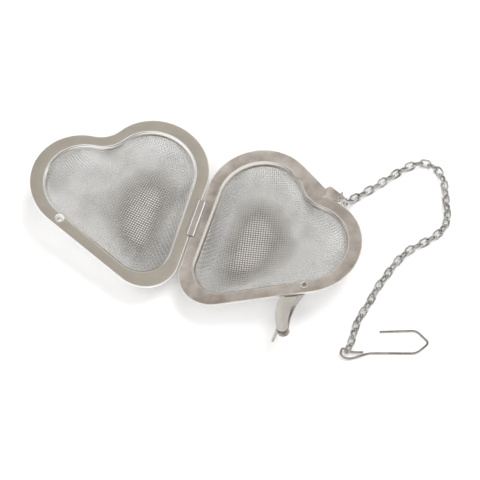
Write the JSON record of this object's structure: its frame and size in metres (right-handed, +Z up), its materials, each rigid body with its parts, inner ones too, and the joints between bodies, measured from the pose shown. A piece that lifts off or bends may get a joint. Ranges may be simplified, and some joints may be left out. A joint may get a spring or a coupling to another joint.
{
  "type": "tea infuser",
  "caption": "Open heart-shaped tea infuser: two sheet frames with domed mesh baskets, a folding hinge, a swing latch, and an oval-link chain with a wire cup hook.",
  "frame": {"origin": "middle of the flat on which the base basket rests on the table", "axes": "+Y along the hinge towards the chain ear, +X from the hinge across the base half, +Z up from the table"},
  "size_m": [0.1483, 0.0902, 0.0183],
  "materials": {
    "base_steel": "satin, rolled edge",
    "lid_steel": "satin, rolled edge",
    "mesh_steel": "fine woven wire",
    "band_steel": "satin",
    "latch_steel": "satin",
    "rivet_steel": "bright",
    "wire_steel": "bright plated",
    "hook_steel": "bright"
  },
  "bodies": {
    "base": {"base_frame": "base_steel", "base_mesh": "mesh_steel", "latch_rivet": "rivet_steel"},
    "hinge_band": {"hinge_band": "band_steel"},
    "lid": {"lid_frame": "lid_steel", "lid_mesh": "mesh_steel"},
    "latch": {"latch": "latch_steel"},
    "chain_link_01": {"chain_link_01": "wire_steel"},
    "chain_link_02": {"chain_link_02": "wire_steel"},
    "chain_link_03": {"chain_link_03": "wire_steel"},
    "chain_link_04": {"chain_link_04": "wire_steel"},
    "chain_link_05": {"chain_link_05": "wire_steel"},
    "chain_link_06": {"chain_link_06": "wire_steel"},
    "chain_link_07": {"chain_link_07": "wire_steel"},
    "chain_link_08": {"chain_link_08": "wire_steel"},
    "chain_link_09": {"chain_link_09": "wire_steel"},
    "chain_link_10": {"chain_link_10": "wire_steel"},
    "chain_link_11": {"chain_link_11": "wire_steel"},
    "chain_link_12": {"chain_link_12": "wire_steel"},
    "chain_link_13": {"chain_link_13": "wire_steel"},
    "chain_link_14": {"chain_link_14": "wire_steel"},
    "chain_link_15": {"chain_link_15": "wire_steel"},
    "chain_link_16": {"chain_link_16": "wire_steel"},
    "chain_link_17": {"chain_link_17": "wire_steel"},
    "chain_link_18": {"chain_link_18": "wire_steel"},
    "chain_link_19": {"chain_link_19": "wire_steel"},
    "chain_link_20": {"chain_link_20": "wire_steel"},
    "chain_link_21": {"chain_link_21": "wire_steel"},
    "chain_link_22": {"chain_link_22": "wire_steel"},
    "chain_link_23": {"chain_link_23": "wire_steel"},
    "chain_link_24": {"chain_link_24": "wire_steel"},
    "chain_link_25": {"chain_link_25": "wire_steel"},
    "chain_link_26": {"chain_link_26": "wire_steel"},
    "chain_link_27": {"chain_link_27": "wire_steel"},
    "chain_link_28": {"chain_link_28": "wire_steel"},
    "chain_link_29": {"chain_link_29": "wire_steel"},
    "chain_link_30": {"chain_link_30": "wire_steel"},
    "chain_link_31": {"chain_link_31": "wire_steel"},
    "chain_link_32": {"chain_link_32": "wire_steel"},
    "chain_link_33": {"chain_link_33": "wire_steel"},
    "chain_link_34": {"chain_link_34": "wire_steel"},
    "chain_link_35": {"chain_link_35": "wire_steel"},
    "chain_link_36": {"chain_link_36": "wire_steel"},
    "chain_link_37": {"chain_link_37": "wire_steel"},
    "chain_link_38": {"chain_link_38": "wire_steel"},
    "chain_link_39": {"chain_link_39": "wire_steel"},
    "chain_link_40": {"chain_link_40": "wire_steel"},
    "chain_link_41": {"chain_link_41": "wire_steel"},
    "chain_link_42": {"chain_link_42": "wire_steel"},
    "chain_link_43": {"chain_link_43": "wire_steel"},
    "chain_link_44": {"chain_link_44": "wire_steel"},
    "chain_link_45": {"chain_link_45": "wire_steel"},
    "chain_link_46": {"chain_link_46": "wire_steel"},
    "chain_link_47": {"chain_link_47": "wire_steel"},
    "cup_hook": {"cup_hook": "hook_steel"}
  },
  "joints": [
    {"name": "band_fold", "type": "hinge", "parent": "base", "child": "hinge_band", "pos_m": [-0.02055, -0.0009, 0.0096], "axis": [0, 1, 0], "range_deg": [-8, 82]},
    {"name": "lid_fold", "type": "hinge", "parent": "hinge_band", "child": "lid", "pos_m": [-0.02185, -0.0009, 0.0096], "axis": [0, 1, 0], "range_deg": [-8, 82]},
    {"name": "latch_swing", "type": "hinge", "parent": "base", "child": "latch", "pos_m": [0.02274, -0.01782, 0.01568], "axis": [-0.1392, 0, 0.9903], "range_deg": [0, 139]},
    {"name": "chain_link_01_turn", "type": "hinge", "parent": "base", "child": "chain_link_01", "pos_m": [0.02516, 0.01925, 0.01647], "axis": [0, 0, 1], "range_deg": [-15, 15]},
    {"name": "chain_link_02_turn", "type": "hinge", "parent": "chain_link_01", "child": "chain_link_02", "pos_m": [0.02516, 0.01926, 0.01352], "axis": [0, 0, -1], "range_deg": [-15, 15]},
    {"name": "chain_link_03_turn", "type": "hinge", "parent": "chain_link_02", "child": "chain_link_03", "pos_m": [0.02542, 0.0203, 0.01077], "axis": [0, 0, 1], "range_deg": [-15, 15]},
    {"name": "chain_link_04_turn", "type": "hinge", "parent": "chain_link_03", "child": "chain_link_04", "pos_m": [0.02561, 0.02149, 0.00808], "axis": [0, 0, -1], "range_deg": [-15, 15]},
    {"name": "chain_link_05_turn", "type": "hinge", "parent": "chain_link_04", "child": "chain_link_05", "pos_m": [0.02585, 0.02279, 0.00545], "axis": [0, 0, 1], "range_deg": [-15, 15]},
    {"name": "chain_link_06_turn", "type": "hinge", "parent": "chain_link_05", "child": "chain_link_06", "pos_m": [0.02612, 0.02426, 0.0029], "axis": [0, 0, -1], "range_deg": [-15, 15]},
    {"name": "chain_link_07_turn", "type": "hinge", "parent": "chain_link_06", "child": "chain_link_07", "pos_m": [0.02736, 0.02645, 0.00137], "axis": [0, 0, 1], "range_deg": [-15, 15]},
    {"name": "chain_link_08_turn", "type": "hinge", "parent": "chain_link_07", "child": "chain_link_08", "pos_m": [0.02929, 0.02868, 0.00122], "axis": [0, 0, -1], "range_deg": [-15, 15]},
    {"name": "chain_link_09_turn", "type": "hinge", "parent": "chain_link_08", "child": "chain_link_09", "pos_m": [0.03125, 0.03088, 0.00127], "axis": [0, 0, 1], "range_deg": [-15, 15]},
    {"name": "chain_link_10_turn", "type": "hinge", "parent": "chain_link_09", "child": "chain_link_10", "pos_m": [0.03315, 0.03314, 0.00127], "axis": [0, 0, -1], "range_deg": [-15, 15]},
    {"name": "chain_link_11_turn", "type": "hinge", "parent": "chain_link_10", "child": "chain_link_11", "pos_m": [0.035, 0.03544, 0.00127], "axis": [0, 0, 1], "range_deg": [-15, 15]},
    {"name": "chain_link_12_turn", "type": "hinge", "parent": "chain_link_11", "child": "chain_link_12", "pos_m": [0.03679, 0.03778, 0.00127], "axis": [0, 0, -1], "range_deg": [-15, 15]},
    {"name": "chain_link_13_turn", "type": "hinge", "parent": "chain_link_12", "child": "chain_link_13", "pos_m": [0.03859, 0.04012, 0.00127], "axis": [0, 0, 1], "range_deg": [-15, 15]},
    {"name": "chain_link_14_turn", "type": "hinge", "parent": "chain_link_13", "child": "chain_link_14", "pos_m": [0.04038, 0.04246, 0.00127], "axis": [0, 0, -1], "range_deg": [-15, 15]},
    {"name": "chain_link_15_turn", "type": "hinge", "parent": "chain_link_14", "child": "chain_link_15", "pos_m": [0.0423, 0.04471, 0.00127], "axis": [0, 0, 1], "range_deg": [-15, 15]},
    {"name": "chain_link_16_turn", "type": "hinge", "parent": "chain_link_15", "child": "chain_link_16", "pos_m": [0.04448, 0.04669, 0.00127], "axis": [0, 0, -1], "range_deg": [-15, 15]},
    {"name": "chain_link_17_turn", "type": "hinge", "parent": "chain_link_16", "child": "chain_link_17", "pos_m": [0.04699, 0.04825, 0.00127], "axis": [0, 0, 1], "range_deg": [-15, 15]},
    {"name": "chain_link_18_turn", "type": "hinge", "parent": "chain_link_17", "child": "chain_link_18", "pos_m": [0.04993, 0.04846, 0.00127], "axis": [0, 0, -1], "range_deg": [-15, 15]},
    {"name": "chain_link_19_turn", "type": "hinge", "parent": "chain_link_18", "child": "chain_link_19", "pos_m": [0.05273, 0.04755, 0.00127], "axis": [0, 0, 1], "range_deg": [-15, 15]},
    {"name": "chain_link_20_turn", "type": "hinge", "parent": "chain_link_19", "child": "chain_link_20", "pos_m": [0.05495, 0.0456, 0.00127], "axis": [0, 0, -1], "range_deg": [-15, 15]},
    {"name": "chain_link_21_turn", "type": "hinge", "parent": "chain_link_20", "child": "chain_link_21", "pos_m": [0.05659, 0.04315, 0.00127], "axis": [0, 0, 1], "range_deg": [-15, 15]},
    {"name": "chain_link_22_turn", "type": "hinge", "parent": "chain_link_21", "child": "chain_link_22", "pos_m": [0.05779, 0.04046, 0.00127], "axis": [0, 0, -1], "range_deg": [-15, 15]},
    {"name": "chain_link_23_turn", "type": "hinge", "parent": "chain_link_22", "child": "chain_link_23", "pos_m": [0.05868, 0.03764, 0.00127], "axis": [0, 0, 1], "range_deg": [-15, 15]},
    {"name": "chain_link_24_turn", "type": "hinge", "parent": "chain_link_23", "child": "chain_link_24", "pos_m": [0.05975, 0.0349, 0.00127], "axis": [0, 0, -1], "range_deg": [-15, 15]},
    {"name": "chain_link_25_turn", "type": "hinge", "parent": "chain_link_24", "child": "chain_link_25", "pos_m": [0.0608, 0.03214, 0.00127], "axis": [0, 0, 1], "range_deg": [-15, 15]},
    {"name": "chain_link_26_turn", "type": "hinge", "parent": "chain_link_25", "child": "chain_link_26", "pos_m": [0.06159, 0.0293, 0.00127], "axis": [0, 0, -1], "range_deg": [-15, 15]},
    {"name": "chain_link_27_turn", "type": "hinge", "parent": "chain_link_26", "child": "chain_link_27", "pos_m": [0.06157, 0.02635, 0.00127], "axis": [0, 0, 1], "range_deg": [-15, 15]},
    {"name": "chain_link_28_turn", "type": "hinge", "parent": "chain_link_27", "child": "chain_link_28", "pos_m": [0.06071, 0.02352, 0.00127], "axis": [0, 0, -1], "range_deg": [-15, 15]},
    {"name": "chain_link_29_turn", "type": "hinge", "parent": "chain_link_28", "child": "chain_link_29", "pos_m": [0.05915, 0.02102, 0.00127], "axis": [0, 0, 1], "range_deg": [-15, 15]},
    {"name": "chain_link_30_turn", "type": "hinge", "parent": "chain_link_29", "child": "chain_link_30", "pos_m": [0.05725, 0.01877, 0.00127], "axis": [0, 0, -1], "range_deg": [-15, 15]},
    {"name": "chain_link_31_turn", "type": "hinge", "parent": "chain_link_30", "child": "chain_link_31", "pos_m": [0.05525, 0.0166, 0.00127], "axis": [0, 0, 1], "range_deg": [-15, 15]},
    {"name": "chain_link_32_turn", "type": "hinge", "parent": "chain_link_31", "child": "chain_link_32", "pos_m": [0.05315, 0.01453, 0.00127], "axis": [0, 0, -1], "range_deg": [-15, 15]},
    {"name": "chain_link_33_turn", "type": "hinge", "parent": "chain_link_32", "child": "chain_link_33", "pos_m": [0.0514, 0.01215, 0.00127], "axis": [0, 0, 1], "range_deg": [-15, 15]},
    {"name": "chain_link_34_turn", "type": "hinge", "parent": "chain_link_33", "child": "chain_link_34", "pos_m": [0.05, 0.00956, 0.00127], "axis": [0, 0, -1], "range_deg": [-15, 15]},
    {"name": "chain_link_35_turn", "type": "hinge", "parent": "chain_link_34", "child": "chain_link_35", "pos_m": [0.04886, 0.00684, 0.00127], "axis": [0, 0, 1], "range_deg": [-15, 15]},
    {"name": "chain_link_36_turn", "type": "hinge", "parent": "chain_link_35", "child": "chain_link_36", "pos_m": [0.04798, 0.00402, 0.00127], "axis": [0, 0, -1], "range_deg": [-15, 15]},
    {"name": "chain_link_37_turn", "type": "hinge", "parent": "chain_link_36", "child": "chain_link_37", "pos_m": [0.04713, 0.00119, 0.00127], "axis": [0, 0, 1], "range_deg": [-15, 15]},
    {"name": "chain_link_38_turn", "type": "hinge", "parent": "chain_link_37", "child": "chain_link_38", "pos_m": [0.04616, -0.00159, 0.00127], "axis": [0, 0, -1], "range_deg": [-15, 15]},
    {"name": "chain_link_39_turn", "type": "hinge", "parent": "chain_link_38", "child": "chain_link_39", "pos_m": [0.04533, -0.00442, 0.00127], "axis": [0, 0, 1], "range_deg": [-15, 15]},
    {"name": "chain_link_40_turn", "type": "hinge", "parent": "chain_link_39", "child": "chain_link_40", "pos_m": [0.04491, -0.00734, 0.00127], "axis": [0, 0, -1], "range_deg": [-15, 15]},
    {"name": "chain_link_41_turn", "type": "hinge", "parent": "chain_link_40", "child": "chain_link_41", "pos_m": [0.04432, -0.01023, 0.00127], "axis": [0, 0, 1], "range_deg": [-15, 15]},
    {"name": "chain_link_42_turn", "type": "hinge", "parent": "chain_link_41", "child": "chain_link_42", "pos_m": [0.04368, -0.01311, 0.00127], "axis": [0, 0, -1], "range_deg": [-15, 15]},
    {"name": "chain_link_43_turn", "type": "hinge", "parent": "chain_link_42", "child": "chain_link_43", "pos_m": [0.04289, -0.01596, 0.00127], "axis": [0, 0, 1], "range_deg": [-15, 15]},
    {"name": "chain_link_44_turn", "type": "hinge", "parent": "chain_link_43", "child": "chain_link_44", "pos_m": [0.04237, -0.01886, 0.00127], "axis": [0, 0, -1], "range_deg": [-15, 15]},
    {"name": "chain_link_45_turn", "type": "hinge", "parent": "chain_link_44", "child": "chain_link_45", "pos_m": [0.04237, -0.02181, 0.00127], "axis": [0, 0, 1], "range_deg": [-15, 15]},
    {"name": "chain_link_46_turn", "type": "hinge", "parent": "chain_link_45", "child": "chain_link_46", "pos_m": [0.0425, -0.02476, 0.00127], "axis": [0, 0, -1], "range_deg": [-15, 15]},
    {"name": "chain_link_47_turn", "type": "hinge", "parent": "chain_link_46", "child": "chain_link_47", "pos_m": [0.04238, -0.0277, 0.00127], "axis": [0, 0, 1], "range_deg": [-15, 15]},
    {"name": "cup_hook_turn", "type": "hinge", "parent": "chain_link_47", "child": "cup_hook", "pos_m": [0.04205, -0.03063, 0.00127], "axis": [0, 0, 1], "range_deg": [-10, 10]}
  ]
}
